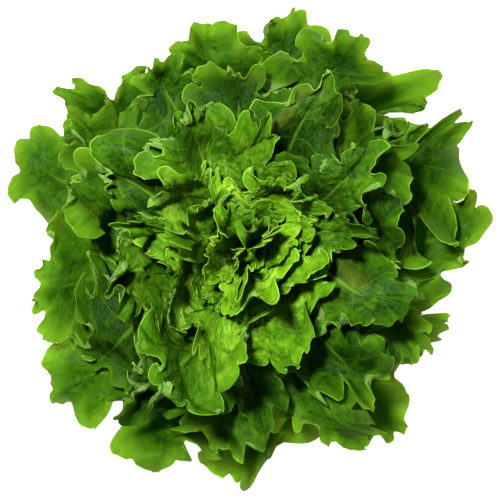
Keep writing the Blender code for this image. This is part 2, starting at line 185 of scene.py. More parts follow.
class Ripple:
    """Smooth value that wanders over space: sine waves in seeded directions."""

    def __init__(self, seed, wave_length, terms, size):
        rng = np.random.default_rng(seed)
        direction = rng.normal(size=(terms, size))
        direction /= np.linalg.norm(direction, axis=1)[:, None]
        self.step = direction * (2 * math.pi / wave_length) * rng.uniform(0.6, 1.35, (terms, 1))
        self.start = rng.uniform(0, 2 * math.pi, terms)
        self.scale = 1 / math.sqrt(terms / 2)

    def __call__(self, points):
        return np.sin(points @ self.step.T + self.start).sum(-1) * self.scale


# The spiral of leaves

def outline_radius(azimuth):
    """Radius of the head's outline in a direction."""
    turns = np.array([row[0] for row in OUTLINE] + [OUTLINE[0][0] + 360.0])
    radii = np.array([row[1] for row in OUTLINE] + [OUTLINE[0][1]])
    return float(np.interp((azimuth - turns[0]) % 360 + turns[0], turns, radii))


def leaf_length(reach, root_r, rise, droop):
    """Length of a leaf that ends at radius reach."""
    t = np.linspace(0, 1, 101)
    return (reach - root_r) / np.cos(np.radians(rise - droop * t ** DROOP_POWER)).mean()


def make_leaves():
    """The spiral of leaves, from the ground upwards, each a little different from its whorl."""
    rng = np.random.default_rng(SEED)
    last = sum(whorl.count for whorl in WHORLS) - 1
    leaves = []
    for whorl in WHORLS:
        for k in range(whorl.count):
            number = len(leaves)
            height = number / last
            share = k / max(whorl.count - 1, 1)
            draw = rng.uniform(-1, 1, 8)
            rise = whorl.rise_low + (whorl.rise_high - whorl.rise_low) * share
            root_r = ROOT_RADIUS_LOW + (ROOT_RADIUS_TOP - ROOT_RADIUS_LOW) * height
            root_z = FIRST_ROOT + (LAST_ROOT - FIRST_ROOT) * height
            if whorl.name in HEART_WHORLS:
                root_z += HEART_STEP
            azimuth = number * GOLDEN_ANGLE + FIRST_AZIMUTH + AZIMUTH_SPREAD * draw[0]
            reach = whorl.reach * (1 + REACH_SPREAD * draw[1] - whorl.taper * share)
            reach *= 1 + (outline_radius(azimuth) / MEAN_OUTLINE - 1) * (1 - height)
            leaves.append(Leaf(
                number=number, whorl=whorl, azimuth=azimuth, rise=rise, root_r=root_r, root_z=root_z,
                length=leaf_length(reach, root_r, rise, whorl.droop),
                half_width=whorl.half_width * (1 + WIDTH_SPREAD * draw[2]),
                sweep=SWEEP_SPREAD * draw[3],
                depth=whorl.depth * (1 + DEPTH_SPREAD * draw[4]),
                wave=whorl.wave * (1 + WAVE_SPREAD * draw[5]),
                phase=math.pi * draw[6], curl=CURL_SPREAD * draw[7]))
    return leaves


# A leaf laid flat: veins are numbered from -1 and 1 at the root to 0 at the tip

def vein_numbers(columns):
    """Veins of the grid, closest together along the lobes."""
    even = np.linspace(-1, 1, columns)
    return even * (0.8 + 0.2 * np.abs(even) ** 3)


def smooth_through(x, knots, values):
    """Smooth curve through the values at the knots."""
    slope = np.gradient(values, knots)
    i = np.clip(np.searchsorted(knots, x) - 1, 0, len(knots) - 2)
    gap = knots[i + 1] - knots[i]
    t = (x - knots[i]) / gap
    start = (2 * t ** 3 - 3 * t ** 2 + 1) * values[i] + (t ** 3 - 2 * t ** 2 + t) * gap * slope[i]
    end = (3 * t ** 2 - 2 * t ** 3) * values[i + 1] + (t ** 3 - t ** 2) * gap * slope[i + 1]
    return start + end


def vein_length(leaf, vein):
    """Length of a vein, from the midrib to the margin, with the lobes left out."""
    width = leaf.half_width
    root = 0.20 * width + ROOT_HALF_WIDTH
    knots = np.array([0, 0.1, 0.2, 0.3, 0.4, 0.55, 0.7, 0.85, 1.0])
    shares = np.array([TIP_SHARE, 0.67, 0.80, 0.95, 1.02, 0.92, 0.62, 0.36, root / width])
    return smooth_through(np.abs(vein), knots, shares * width)


def lobe_number(leaf, vein):
    """Counts the lobes from the one at the tip, which is 0. They are of uneven widths."""
    away = np.abs(vein)
    side = np.where(vein < 0, 0.16, -0.16) * math.sin(leaf.phase * 3)
    turn = away * leaf.whorl.lobes + side * np.minimum(away * 6, 1)
    start = np.sin(leaf.phase + np.sign(vein))
    drift = np.sin(2 * math.pi * turn / LOBE_PERIOD + leaf.phase + np.sign(vein)) - start
    return turn + LOBE_UNEVEN * drift * np.minimum(turn, 1)


def lobe_share(leaf, vein):
    """What the notches between the rounded lobes leave of a vein, some of them deeper than others."""
    turn = lobe_number(leaf, vein)
    notch = (2 * np.abs(turn - np.round(turn))) ** NOTCH_POWER
    rng = np.random.default_rng(BITE_SEED + leaf.number)
    slot = (np.floor(turn) * np.sign(vein) + LOBE_MIDDLE).astype(int)
    bite = np.where(turn < 1, TIP_BITE, rng.uniform(BITE_LOW, BITE_HIGH, LOBE_SLOTS)[slot])
    return 1 - leaf.depth * bite * notch * (1 - np.clip((np.abs(vein) - 0.74) / 0.2, 0, 1))


def lay_flat(leaf, vein, share, scallop=0.0):
    """Places along and across the midrib, with each vein's start, length and lean from it."""
    away = np.abs(vein)
    start = (leaf.length - TIP_SHARE * leaf.half_width) * (1 - away ** START_POWER)
    lean = np.radians(VEIN_LEAN) * (1 - (1 - np.clip(away / 0.5, 0, 1)) ** 2) * np.sign(vein)
    length = vein_length(leaf, vein) * lobe_share(leaf, vein) * (1 + scallop)
    along = start + share * length * np.cos(lean)
    across = share * length * np.sin(lean)
    return along, across, start, length, lean


def looseness(leaf, along):
    """From 0 near the root, where the leaf is held, to 1 further out."""
    return ease((along / leaf.length - 0.12) / 0.4)


def margin_distance(leaf, vein):
    """Distance along the margin from the tip."""
    fine = np.linspace(-1, 1, 801)
    along, across = lay_flat(leaf, fine, np.ones_like(fine))[:2]
    steps = np.hypot(np.diff(along), np.diff(across))
    distance = np.concatenate([[0], np.cumsum(steps)])
    return np.interp(vein, fine, distance - np.interp(0, fine, distance))


def width_table(leaf):
    """Half width of the leaf, lobes left out, at distances from its root."""
    fine = np.linspace(0, 1, 200)
    along, across = lay_flat(leaf._replace(depth=0.0), fine, np.ones_like(fine))[:2]
    grid = np.linspace(-WIDTH_BIN, leaf.length + WIDTH_BIN, 80)
    near = np.abs(along[None, :] - grid[:, None]) < WIDTH_BIN
    return grid, np.where(near, across[None, :], 0).max(axis=1)


# Layers: each leaf follows a curve that leaves the stem upwards and droops outwards

def layer(leaf, distance):
    """Radius, height and slope of the leaf's layer at a distance from its root."""
    step = np.linspace(0, 1.4 * leaf.length + 0.060, 400)
    share = np.minimum(step / leaf.length, STRAIGHT_FROM)
    slope = np.radians(leaf.rise - leaf.whorl.droop * share ** DROOP_POWER)
    middle = (slope[1:] + slope[:-1]) / 2
    radius = leaf.root_r + np.concatenate([[0], np.cumsum(np.cos(middle) * step[1])])
    height = leaf.root_z + np.concatenate([[0], np.cumsum(np.sin(middle) * step[1])])
    return tuple(np.interp(distance, step, value) for value in (radius, height, slope))


def layer_gaps(leaves):
    """For each pair of leaves: gap from the first one's layer up to the second's, along the first."""
    far = np.linspace(0, FARTHEST, 120)
    others = [layer(leaf, far)[:2] for leaf in leaves]
    gaps = {}
    for i, leaf in enumerate(leaves):
        along = np.linspace(0, leaf.length * 1.12, 48)
        radius, height, slope = layer(leaf, along)
        for j, (other_r, other_z) in enumerate(others):
            if i == j:
                continue
            dr = other_r - radius[:, None]
            dz = other_z - height[:, None]
            size = np.hypot(dr, dz)
            near = size.argmin(axis=1)
            rows = np.arange(len(along))
            above = dz[rows, near] * np.cos(slope) - dr[rows, near] * np.sin(slope)
            gaps[i, j] = (along, np.sign(above) * size[rows, near], far[near])
    return gaps


def wrap(angle):
    """The same angle, between minus half a turn and half a turn."""
    return (angle + math.pi) % (2 * math.pi) - math.pi


def run_along(rate, step):
    """Running total of a rate down the columns."""
    mean = (rate[1:] + rate[:-1]) / 2 * step[1:]
    return np.concatenate([np.zeros((1, rate.shape[1])), np.cumsum(mean, axis=0)])


def pull(first, second, rest, share=1.0):
    """Moves each pair of points towards the distance that it should have."""
    gap = second - first
    size = np.sqrt(np.einsum("...k,...k", gap, gap))
    excess = size - rest[:size.shape[0], :size.shape[1]]
    move = gap * (0.5 * share * excess / np.maximum(size, 1e-9))[..., None]
    first += move
    second -= move


class Head:
    """All the leaves, and the room that each one has between its neighbours."""

    def __init__(self):
        self.leaves = make_leaves()
        self.gaps = layer_gaps(self.leaves)
        self.widths = [width_table(leaf) for leaf in self.leaves]
        self.sway = [Ripple(SWAY_SEED + axis, SWAY_LENGTH, 7, 3) for axis in range(3)]
        self.nest_up = Ripple(NEST_UP_SEED, NEST_UP_LENGTH, 9, 2)
        self.nest_out = Ripple(NEST_OUT_SEED, NEST_OUT_LENGTH, 9, 3)

    def azimuth(self, leaf, along):
        return math.radians(leaf.azimuth) + math.radians(leaf.sweep) * (along / leaf.length) ** 2

    def room(self, leaf, along, turn):
        """The lowest and the highest place, measured from its layer, that the leaf may take."""
        high = np.full(along.shape, FREE_ROOM)
        low = np.full(along.shape, -FREE_ROOM)
        for other in self.leaves:
            if other.number == leaf.number:
                continue
            at, gap, far = self.gaps[leaf.number, other.number]
            gap = np.interp(along, at, gap)
            far = np.interp(along, at, far)
            across = wrap(turn - self.azimuth(other, far)) * (layer(other, far)[0] + WRAP_RADIUS)
            half = np.interp(far, *self.widths[other.number])
            edge = COVER_EDGE + COVER_FADE
            beside = np.clip((half + edge - np.abs(across)) / COVER_FADE, 0, 1)
            beyond = np.clip((other.length + edge - far) / COVER_FADE, 0, 1)
            free = FREE_ROOM * (1 - ease(beside * beyond)) ** 1.5
            if other.number > leaf.number:
                high = np.minimum(high, gap / 2 - LEAST_GAP / 2 + free)
            else:
                low = np.maximum(low, gap / 2 + LEAST_GAP / 2 - free)
        return low, np.maximum(high, low + LEAST_ROOM)

    def slopes(self, leaf, vein, share, along, across):
        """Slope of the blade along each vein: cupped, flared at the margin, waved, its tip turned up."""
        whorl = leaf.whorl
        wander = Ripple(WANDER_SEED + leaf.number, WANDER_LENGTH, 5, 2)
        spot = np.stack([along, across], -1)
        loose = looseness(leaf, along)
        tip = ease(1 - np.abs(vein) / 0.38)
        arc = margin_distance(leaf, vein)
        turn = 2 * math.pi * arc / whorl.wave_length + leaf.phase + 1.1 * wander(spot)
        broad = 0.35 * whorl.freedom + np.sin(turn)
        flare = whorl.flare * (1 + 0.6 * wander(spot + 0.190)) * ease((share - 0.55) / 0.4)
        slope = math.radians(whorl.cup) * (1 - flare)
        slope += math.radians(leaf.wave) * share ** 1.4 * broad * loose
        slope += math.radians(whorl.tip + leaf.curl) * tip * share ** 1.2
        slope += self.lobe_curl(leaf, vein) * ease((share - 0.40) / 0.5)
        return np.clip(slope, SLOPE_LOW, SLOPE_HIGH)

    def lobe_curl(self, leaf, vein):
        """How far each lobe curls up or down by itself."""
        rng = np.random.default_rng(CURL_SEED + leaf.number)
        curls = np.radians(rng.uniform(LOBE_CURL_LOW, LOBE_CURL_HIGH, LOBE_SLOTS))
        slot = lobe_number(leaf, vein) * np.sign(vein) + LOBE_MIDDLE
        return np.interp(slot, np.arange(LOBE_SLOTS), leaf.whorl.freedom * curls)

    def lobe_cup(self, leaf, vein, share):
        """Each lobe is a shallow spoon, its sides higher than its middle."""
        turn = lobe_number(leaf, vein)
        side = (2 * np.abs(turn - np.round(turn))) ** 2
        beyond_base = 1 - ease((np.abs(vein) - 0.7) / 0.25)
        return LOBE_CUP * (side - 0.3) * ease((share - 0.25) / 0.6) * beyond_base

    def ruffles(self, leaf, arc, share, spot, loose):
        """Height of the ruffles that take up the growth of the margin, with smaller ones at its rim."""
        whorl = leaf.whorl
        wander = Ripple(RUFFLE_SEED + leaf.number, WANDER_LENGTH, 5, 2)
        drift = 1.4 * Ripple(DRIFT_SEED + leaf.number, DRIFT_LENGTH, 5, 2)(spot)
        room = math.sqrt(whorl.growth) / math.pi * loose
        turn = 2 * math.pi * arc / whorl.ruffle_length + 2 * leaf.phase + drift
        high = whorl.ruffle_length * room * share ** SWELL_POWER * (0.75 + 0.3 * wander(spot))
        swell = high * np.sin(turn)
        turn = 2 * math.pi * arc / whorl.frill_length + 5 * leaf.phase + 1.5 * drift
        high = whorl.frill_length * room * share ** FRILL_POWER * (0.45 + 0.3 * wander(spot * 2))
        return swell + high * np.sin(turn)

    def blade(self, leaf):
        """Rows of points of the blade's middle surface, and where each one is on the flat leaf."""
        vein, share = np.meshgrid(vein_numbers(leaf.whorl.columns), np.linspace(0, 1, VEIN_STEPS))
        arc = margin_distance(leaf, vein)
        flutter = Ripple(SCALLOP_SEED + leaf.number, FLUTTER_LENGTH, 5, 2)
        turn = 2 * math.pi * arc / SCALLOP_LENGTH + 1.5 * flutter(np.stack([arc, 0 * arc], -1))
        scallop = SCALLOP * np.abs(np.sin(turn / 2)) * (1 - ease((np.abs(vein) - 0.7) / 0.2))
        flat_x, flat_y, start, length, lean = lay_flat(leaf, vein, share, scallop)
        slope = self.slopes(leaf, vein, share, flat_x, flat_y)
        run = run_along(np.cos(slope), length / (VEIN_STEPS - 1))
        height = run_along(np.sin(slope), length / (VEIN_STEPS - 1))
        loose = looseness(leaf, flat_x)
        stand = self.ruffles(leaf, arc, share, np.stack([flat_x, flat_y], -1), loose)
        stand += self.lobe_cup(leaf, vein, share)
        run -= stand * np.sin(slope)
        height += stand * np.cos(slope)
        height += self.midrib_wave(leaf, start)
        height += self.relief(leaf, vein, share, flat_x, flat_y)
        rows = np.round(np.linspace(0, 1, leaf.whorl.rows) ** 0.85 * (VEIN_STEPS - 1)).astype(int)
        points = np.stack([start + run * np.cos(lean), run * np.sin(lean), height], -1)[rows]
        flat = np.stack([flat_x, flat_y], -1)[rows]
        points = self.relax(leaf, points, flat, share[rows])
        points = self.lay_on_layer(leaf, points[..., 0], points[..., 1], points[..., 2])
        return points, vein[rows], share[rows], flat_x[rows], flat_y[rows], (share * length)[rows]

    def relax(self, leaf, points, flat, share):
        """Lets the blade settle as a thin sheet whose margin has grown longer than it can lie flat."""
        extra = 1 + leaf.whorl.growth * share ** GROWTH_POWER
        width = (flat[:, 1:] - flat[:, :-1]) * ((extra[:, 1:] + extra[:, :-1]) / 2)[..., None]
        run = flat[1:] - flat[:-1]
        cell = (width[1:] + width[:-1]) / 2
        fall = (run[:, 1:] + run[:, :-1]) / 2
        rest_across = np.linalg.norm(width, axis=-1)
        rest_along = np.linalg.norm(run, axis=-1)
        rest_down = np.linalg.norm(fall + cell, axis=-1)
        rest_up = np.linalg.norm(fall - cell, axis=-1)
        fixed = points[0].copy()
        for step in range(RELAX_STEPS):
            if step % LIMIT_STEPS == 0:
                low, high = self.limits(leaf, points[..., 0], points[..., 1])
            for k in (0, 1):
                pull(points[:, k:-1:2], points[:, k + 1::2], rest_across[:, k::2])
                pull(points[k:-1:2], points[k + 1::2], rest_along[k::2])
                pull(points[k:-1:2, :-1], points[k + 1::2, 1:], rest_down[k::2], SHEAR)
                pull(points[k:-1:2, 1:], points[k + 1::2, :-1], rest_up[k::2], SHEAR)
            points[:, 1:-1] += BEND * ((points[:, 2:] + points[:, :-2]) / 2 - points[:, 1:-1])
            points[1:-1] += BEND * ((points[2:] + points[:-2]) / 2 - points[1:-1])
            over = points[..., 2] - np.clip(points[..., 2], low, high)
            points[..., 2] -= CONTACT * over
            points[0] = fixed
        return points

    def limits(self, leaf, along, across):
        """The lowest and the highest place that the blade may take, measured from its layer."""
        radius, level, slope = layer(leaf, along)
        turn = self.azimuth(leaf, along) + across / (radius + WRAP_RADIUS)
        low, high = self.room(leaf, along, turn)
        low = np.maximum(low, (FLOOR_GAP - level) / np.maximum(np.cos(slope), 0.3))
        return low, np.maximum(high, low + LEAST_ROOM)

    def relief(self, leaf, vein, share, along, across):
        """Crumples of the blade, creased where they meet, and its bulges between the veins."""
        spot = np.stack([along, across], -1)
        loose = looseness(leaf, along) * np.clip(share * 4, 0, 1)
        crumple = 0.8 - np.abs(Ripple(CRUMPLE_SEED + leaf.number, CRUMPLE_LENGTH, 7, 2)(spot))
        blister = 0.6 - np.abs(Ripple(BLISTER_SEED + leaf.number, BLISTER_LENGTH, 9, 2)(spot))
        bulge = np.abs(np.sin(math.pi * VEINS * vein)) * (1 - 0.4 * share)
        return (CRUMPLE * crumple + BLISTER * blister + BULGE * bulge) * loose

    def midrib_wave(self, leaf, start):
        """How the midrib rises and falls on its way to the tip."""
        wander = Ripple(WANDER_SEED + leaf.number, WANDER_LENGTH, 5, 2)
        loose = np.clip(start / leaf.length * 2.5 - 0.3, 0, 1)
        return MIDRIB_WAVE * loose * wander(np.stack([start * 1.3, 0 * start], -1))

    def lay_on_layer(self, leaf, along, across, height):
        """Turns places on the flat leaf into points round the stem, within the leaf's room."""
        radius, level, slope = layer(leaf, along)
        turn = self.azimuth(leaf, along) + across / (radius + WRAP_RADIUS)
        low, high = self.limits(leaf, along, across)
        low, high = low - SOFTNESS, high + SOFTNESS
        rest = np.clip(0, low + REST_ROOM, high - REST_ROOM)
        up = (high - rest) * np.tanh(height / (high - rest))
        down = (rest - low) * np.tanh(height / (rest - low))
        moved = rest + np.where(height > 0, up, down)
        radius = np.maximum(radius - moved * np.sin(slope), LEAST_RADIUS)
        level = level + moved * np.cos(slope)
        return self.sway_all(np.stack([radius * np.cos(turn), radius * np.sin(turn), level], -1))

    def sway_all(self, points):
        """Bends the space that the head stands in, for all leaves alike."""
        far = ease((np.linalg.norm(points, axis=-1) - SWAY_FROM) / SWAY_OVER)
        lift = np.clip((points[..., 2] - LIFT_FROM) / LIFT_OVER, 0, 1)
        strength = (far, far, far * lift)
        points = points + np.stack([SWAY * strength[k] * self.sway[k](points) for k in range(3)], -1)
        points[..., 2] += NEST * far * lift * self.nest_up(points[..., :2])
        radius = np.hypot(points[..., 0], points[..., 1])
        turn = np.arctan2(points[..., 1], points[..., 0])
        around = np.stack([NEST_RING * np.cos(turn), NEST_RING * np.sin(turn),
                           NEST_RISE * points[..., 2]], -1)
        grow = NEST * far * np.clip((radius - NEST_FROM) / NEST_OVER, 0, 1) * self.nest_out(around)
        points[..., 0] += grow * np.cos(turn)
        points[..., 1] += grow * np.sin(turn)
        return points


# Leaf meshes

TOP, UNDER = 0, 1
SHARP_BLADE = 65
# Steps that set one leaf apart from the next in its materials
TONE_STEP, PATCH_STEP = 0.37, 0.11


def blade_grid(rows, columns):
    """Point numbers of a blade's grid. Its first row is the midrib, where both sides share points."""
    middle = (columns - 1) // 2
    first = np.minimum(np.arange(columns), columns - 1 - np.arange(columns))
    rest = middle + 1 + np.arange((rows - 1) * columns).reshape(rows - 1, columns)
    return np.vstack([first, rest])


def pack(grid, values):
    """Values on the grid as one list, each shared point once."""
    middle = (grid.shape[1] - 1) // 2
    return np.concatenate([values[0, : middle + 1], values[1:].reshape(-1, *values.shape[2:])])


def point_normals(points, faces):
    """Direction of the surface at each point, averaged over the faces round it."""
    corners = points[faces]
    across = np.cross(corners[:, 2] - corners[:, 0], corners[:, 3] - corners[:, 1])
    normals = np.zeros_like(points)
    for k in range(4):
        np.add.at(normals, faces[:, k], across)
    return normals / np.maximum(np.linalg.norm(normals, axis=1), 1e-12)[:, None]


def leaf_mesh(name, head, leaf):
    """Closed mesh of a leaf, its top and its underside in two material slots."""
    points, vein, share, along, across, from_rib = head.blade(leaf)
    grid = blade_grid(*share.shape)
    faces = np.stack([grid[:-1, :-1], grid[:-1, 1:], grid[1:, 1:], grid[1:, :-1]], -1).reshape(-1, 4)
    points, vein, share, along, across, from_rib = (
        pack(grid, value) for value in (points, vein, share, along, across, from_rib))
    rib = RIB_HEIGHT * np.clip(1 - along / leaf.length, 0, 1) ** 1.3
    rib = rib * np.exp(-(from_rib / RIB_WIDTH) ** 2)
    edge = 1 - (1 - EDGE_SHARE) * ease((share - 0.9) / 0.1)
    normals = point_normals(points, faces)
    if (normals[:, 2] * share).sum() < 0:
        faces, normals = faces[:, ::-1], -normals
    top = points + normals * (LAMINA * edge / 2)[:, None]
    under = points - normals * (LAMINA * edge / 2 + rib)[:, None]
    count = len(points)
    loop = np.concatenate([grid[-1], grid[-2:0:-1, -1], grid[:-1, 0]])
    after = np.roll(loop, -1)
    rim = np.stack([loop, after, after + count, loop + count], -1)
    skin = np.concatenate([faces, faces[:, ::-1] + count, rim])
    slots = np.repeat([TOP, UNDER, TOP], [len(faces), len(faces), len(rim)])
    mesh = bpy.data.meshes.new(name)
    mesh.from_pydata(np.vstack([top, under]).tolist(), [], skin.tolist())
    mesh.polygons.foreach_set("material_index", slots.astype(np.int32))
    keep_values(mesh, "leaf_place", np.stack([vein, share, np.full(count, leaf.number * TONE_STEP)], -1))
    keep_values(mesh, "leaf_flat", np.stack([along, across, np.full(count, leaf.number * PATCH_STEP)], -1))
    work = bmesh.new()
    work.from_mesh(mesh)
    midrib_end = int(grid[0, grid.shape[1] // 2])
    split_cells(work, (midrib_end, midrib_end + count))
    bmesh.ops.recalc_face_normals(work, faces=work.faces)
    if work.calc_volume(signed=True) < 0:
        bmesh.ops.reverse_faces(work, faces=work.faces)
    work.to_mesh(mesh)
    work.free()
    mesh.shade_smooth()
    mesh.set_sharp_from_angle(angle=math.radians(SHARP_BLADE))
    return mesh


def split_cells(work, points):
    """Splits the cells at the midrib's end from that point, so that the two never share a diagonal."""
    work.verts.ensure_lookup_table()
    for point in [work.verts[index] for index in points]:
        for cell in list(point.link_faces):
            corners = list(cell.verts)
            opposite = corners[(corners.index(point) + 2) % len(corners)]
            bmesh.utils.face_split(cell, point, opposite)


def keep_values(mesh, name, values):
    """Keeps three values at each point of the leaf, the same on its top and its underside."""
    attribute = mesh.attributes.new(name, "FLOAT_VECTOR", "POINT")
    attribute.data.foreach_set("vector", np.vstack([values, values]).astype(np.float32).ravel())


def new_object(name, mesh, *materials):
    """Puts a mesh into the scene under its name, with its materials."""
    thing = bpy.data.objects.new(name, mesh)
    bpy.context.scene.collection.objects.link(thing)
    for material in materials:
        mesh.materials.append(material)
    return thing


# Materials

class Nodes:
    """Short ways to add the nodes of one material."""

    def __init__(self, name):
        self.material = bpy.data.materials.new(name)
        self.material.use_nodes = True
        self.tree = self.material.node_tree
        self.tree.nodes.clear()

    def add(self, kind, inputs=None, **settings):
        node = self.tree.nodes.new(kind)
        for key, value in settings.items():
            setattr(node, key, value)
        for key, value in (inputs or {}).items():
            self.give(node.inputs[key], value)
        return node

    def give(self, socket, value):
        if isinstance(value, bpy.types.NodeSocket):
            self.tree.links.new(value, socket)
        elif isinstance(value, tuple) and len(value) == 3 and socket.type == "RGBA":
            socket.default_value = (*value, 1.0)
        else:
            socket.default_value = value

    def math(self, operation, *values):
        return self.add("ShaderNodeMath", dict(enumerate(values)), operation=operation).outputs[0]

    def ramp(self, value, low, high, to_low=0.0, to_high=1.0):
        """The value, eased from one range to another."""
        node = self.add("ShaderNodeMapRange", interpolation_type="SMOOTHSTEP")
        for key, given in zip((0, 1, 2, 3, 4), (value, low, high, to_low, to_high)):
            self.give(node.inputs[key], given)
        return node.outputs[0]

    def mix(self, share, first, second):
        node = self.add("ShaderNodeMix", data_type="RGBA")
        for key, given in zip((0, 6, 7), (share, first, second)):
            self.give(node.inputs[key], given)
        return node.outputs[2]

    def noise(self, spot, scale, detail=2.0, roughness=0.5, distortion=0.0):
        return self.add("ShaderNodeTexNoise", {
            "Vector": spot, "Scale": scale, "Detail": detail, "Roughness": roughness,
            "Distortion": distortion}).outputs[0]

    def cells(self, spot, scale):
        """Distance to the edge of the nearest cell of a net."""
        return self.add("ShaderNodeTexVoronoi", {"Vector": spot, "Scale": scale, "Randomness": 0.9},
                        feature="DISTANCE_TO_EDGE").outputs[0]

    def bump(self, height, distance, strength):
        return self.add("ShaderNodeBump", {
            "Height": height, "Distance": distance, "Strength": strength}).outputs[0]

    def finish(self, surface):
        output = self.add("ShaderNodeOutputMaterial")
        self.tree.links.new(surface, output.inputs["Surface"])
        return self.material


# Colours of a leaf: its darkest and lightest green, its veins and margin, whose colour is also painted
# along the edge as rim light, and the light through it.
# Then the shares of the underside's own colour, of light let through and of pale patches
Tone = namedtuple("Tone", "name dark light vein margin glow under through patchy")
TONES = {
    "outer": Tone("outer", (0.002, 0.019, 0.001), (0.033, 0.110, 0.001), (0.085, 0.195, 0.010),
                  (0.250, 0.460, 0.045), (0.690, 0.930, 0.190), 0.45, 0.46, 0.12),
    "middle": Tone("middle", (0.003, 0.023, 0.001), (0.040, 0.130, 0.001), (0.095, 0.220, 0.012),
                   (0.280, 0.510, 0.045), (0.370, 0.700, 0.010), 0.36, 0.30, 0.22),
    "inner": Tone("inner", (0.006, 0.042, 0.001), (0.078, 0.215, 0.002), (0.145, 0.310, 0.018),
                  (0.340, 0.590, 0.055), (0.360, 0.720, 0.010), 0.32, 0.30, 0.48),
    "heart": Tone("heart", (0.013, 0.068, 0.001), (0.132, 0.310, 0.003), (0.200, 0.400, 0.025),
                  (0.430, 0.680, 0.065), (0.380, 0.750, 0.010), 0.28, 0.34, 0.55),
}
# What is left of that light near the midrib, where the blade is thick
DEEP_GLOW = (0.10, 0.24, 0.05)
WHORL_TONE = {"outer": "outer", "second": "outer", "third": "middle", "fourth": "inner",
              "fifth": "heart", "heart": "heart"}
UNDERSIDE = (0.260, 0.450, 0.095)
OLIVE = (0.110, 0.130, 0.012)
BLEMISH = (0.110, 0.055, 0.015)
STEM_DARK, STEM_PALE = (0.52, 0.60, 0.26), (0.70, 0.72, 0.46)
CUT_DARK, CUT_PALE = (0.62, 0.64, 0.36), (0.74, 0.75, 0.50)
SAP, CUT_SKIN = (0.36, 0.20, 0.08), (0.42, 0.46, 0.17)
FLOOR_DARK, FLOOR_PALE = (0.54, 0.54, 0.54), (0.58, 0.58, 0.58)


def leaf_material(tone, under):
    """One side of a leaf: colour by age and place, a fan of veins with a net between, and a thin pale rim
    of painted rim light.
    """
    n = Nodes(f"leaf_{tone.name}_{'underside' if under else 'top'}")
    where = n.add("ShaderNodeAttribute", attribute_name="leaf_place").outputs["Vector"]
    flat = n.add("ShaderNodeAttribute", attribute_name="leaf_flat").outputs["Vector"]
    parts = n.add("ShaderNodeSeparateXYZ", {0: where})
    vein, share, which = parts.outputs[0], parts.outputs[1], parts.outputs[2]

    # Broad patches of lighter and darker green, different on each leaf
    own = n.add("ShaderNodeTexWhiteNoise", {"W": which}, noise_dimensions="1D").outputs[0]
    patches = n.noise(flat, 32.0, 3.0, 0.55)
    mottle = n.noise(flat, 150.0, 3.0, 0.6, 0.6)
    light = n.math("ADD", n.math("MULTIPLY", patches, 1.1), n.math("MULTIPLY", own, 0.6))
    light = n.math("ADD", light, n.math("MULTIPLY", mottle, 1.2))
    light = n.math("ADD", light, n.math("MULTIPLY", n.noise(flat, 430.0, 2.0), 0.5))
    colour = n.mix(n.ramp(light, 1.38, 2.02), tone.dark, tone.light)
    colour = n.mix(n.ramp(light, 1.86, 2.22, 0.0, tone.patchy), colour, tone.margin)
    colour = n.mix(n.ramp(share, 0.55, 1.0, 0.0, 0.35), colour, tone.light)
    aside = n.add("ShaderNodeVectorMath", {0: flat, 1: (0.3, 0.7, 0.0)}, operation="ADD").outputs[0]
    olive = n.math("MULTIPLY", n.ramp(n.noise(aside, 26.0, 2.0), 0.60, 0.76), 0.40)
    colour = n.mix(olive, colour, OLIVE)

    # Veins: the fan from the midrib, the midrib itself, and two nets between them
    fan = n.math("PINGPONG", n.math("MULTIPLY", vein, float(VEINS)), 0.5)
    width = n.math("SUBTRACT", 0.055, n.math("MULTIPLY", share, 0.040))
    fan = n.math("SUBTRACT", 1.0, n.ramp(fan, 0.0, width))
    rib = n.ramp(share, 0.008, 0.055, 1.0, 0.0)
    meshes = n.cells(flat, 210.0)
    net = n.ramp(meshes, 0.0, 0.11, 1.0, 0.0)
    fine_net = n.ramp(n.cells(flat, 520.0), 0.0, 0.16, 1.0, 0.0)
    veins = n.math("MAXIMUM", n.math("MULTIPLY", fan, 0.38), n.math("MULTIPLY", net, 0.16))
    veins = n.math("MAXIMUM", veins, n.math("MULTIPLY", rib, 0.70))
    veins = n.math("MAXIMUM", veins, n.math("MULTIPLY", fine_net, 0.10))
    colour = n.mix(veins, colour, tone.vein)
    if under:
        colour = n.mix(tone.under, colour, UNDERSIDE)
    # A thin pale rim at the margin, uneven along the edge: painted rim light where the thin edge catches
    # light and lets it through
    pale = n.math("MULTIPLY", n.ramp(share, 0.972, 0.998), n.ramp(patches, 0.38, 0.62, 0.08, 0.80))
    colour = n.mix(pale, colour, tone.margin)

    # A few brown specks, in scattered patches
    specks = n.ramp(n.noise(flat, 260.0, 2.0, 0.6), 0.735, 0.765)
    specks = n.math("MULTIPLY", specks, n.ramp(n.noise(flat, 22.0), 0.55, 0.7))
    colour = n.mix(n.math("MULTIPLY", specks, 0.8), colour, BLEMISH)

    # Relief: blades bulge between sunken veins on top, and veins stand out below
    relief = n.math("ADD", n.math("MULTIPLY", veins, 0.8 if under else -0.6),
                    n.math("MULTIPLY", n.noise(flat, 700.0, 2.0), 0.35))
    domes = n.math("ADD", n.math("MULTIPLY", n.ramp(meshes, 0.0, 0.45), -0.6 if under else 0.6),
                   n.math("MULTIPLY", n.noise(flat, 240.0, 1.0), 0.9))
    normal = n.bump(n.math("ADD", relief, domes), 0.0005, 0.8)
    smooth, dull = (0.58, 0.72) if under else (0.48, 0.64)
    roughness = n.ramp(n.noise(flat, 90.0, 3.0), 0.3, 0.7, smooth, dull)
    skin = n.add("ShaderNodeBsdfPrincipled", {
        "Base Color": colour, "Roughness": roughness, "Normal": normal, "Specular IOR Level": 0.05})
    deep = tuple(part * whole for part, whole in zip(DEEP_GLOW, tone.glow))
    glow = n.mix(n.ramp(share, 0.35, 1.0), deep, tone.glow)
    glow = n.mix(n.math("MULTIPLY", veins, 0.5), glow, colour)
    through = n.add("ShaderNodeBsdfTranslucent", {"Color": glow, "Normal": normal})
    both = n.add("ShaderNodeMixShader", {0: tone.through, 1: skin.outputs[0], 2: through.outputs[0]})
    return n.finish(both.outputs[0])


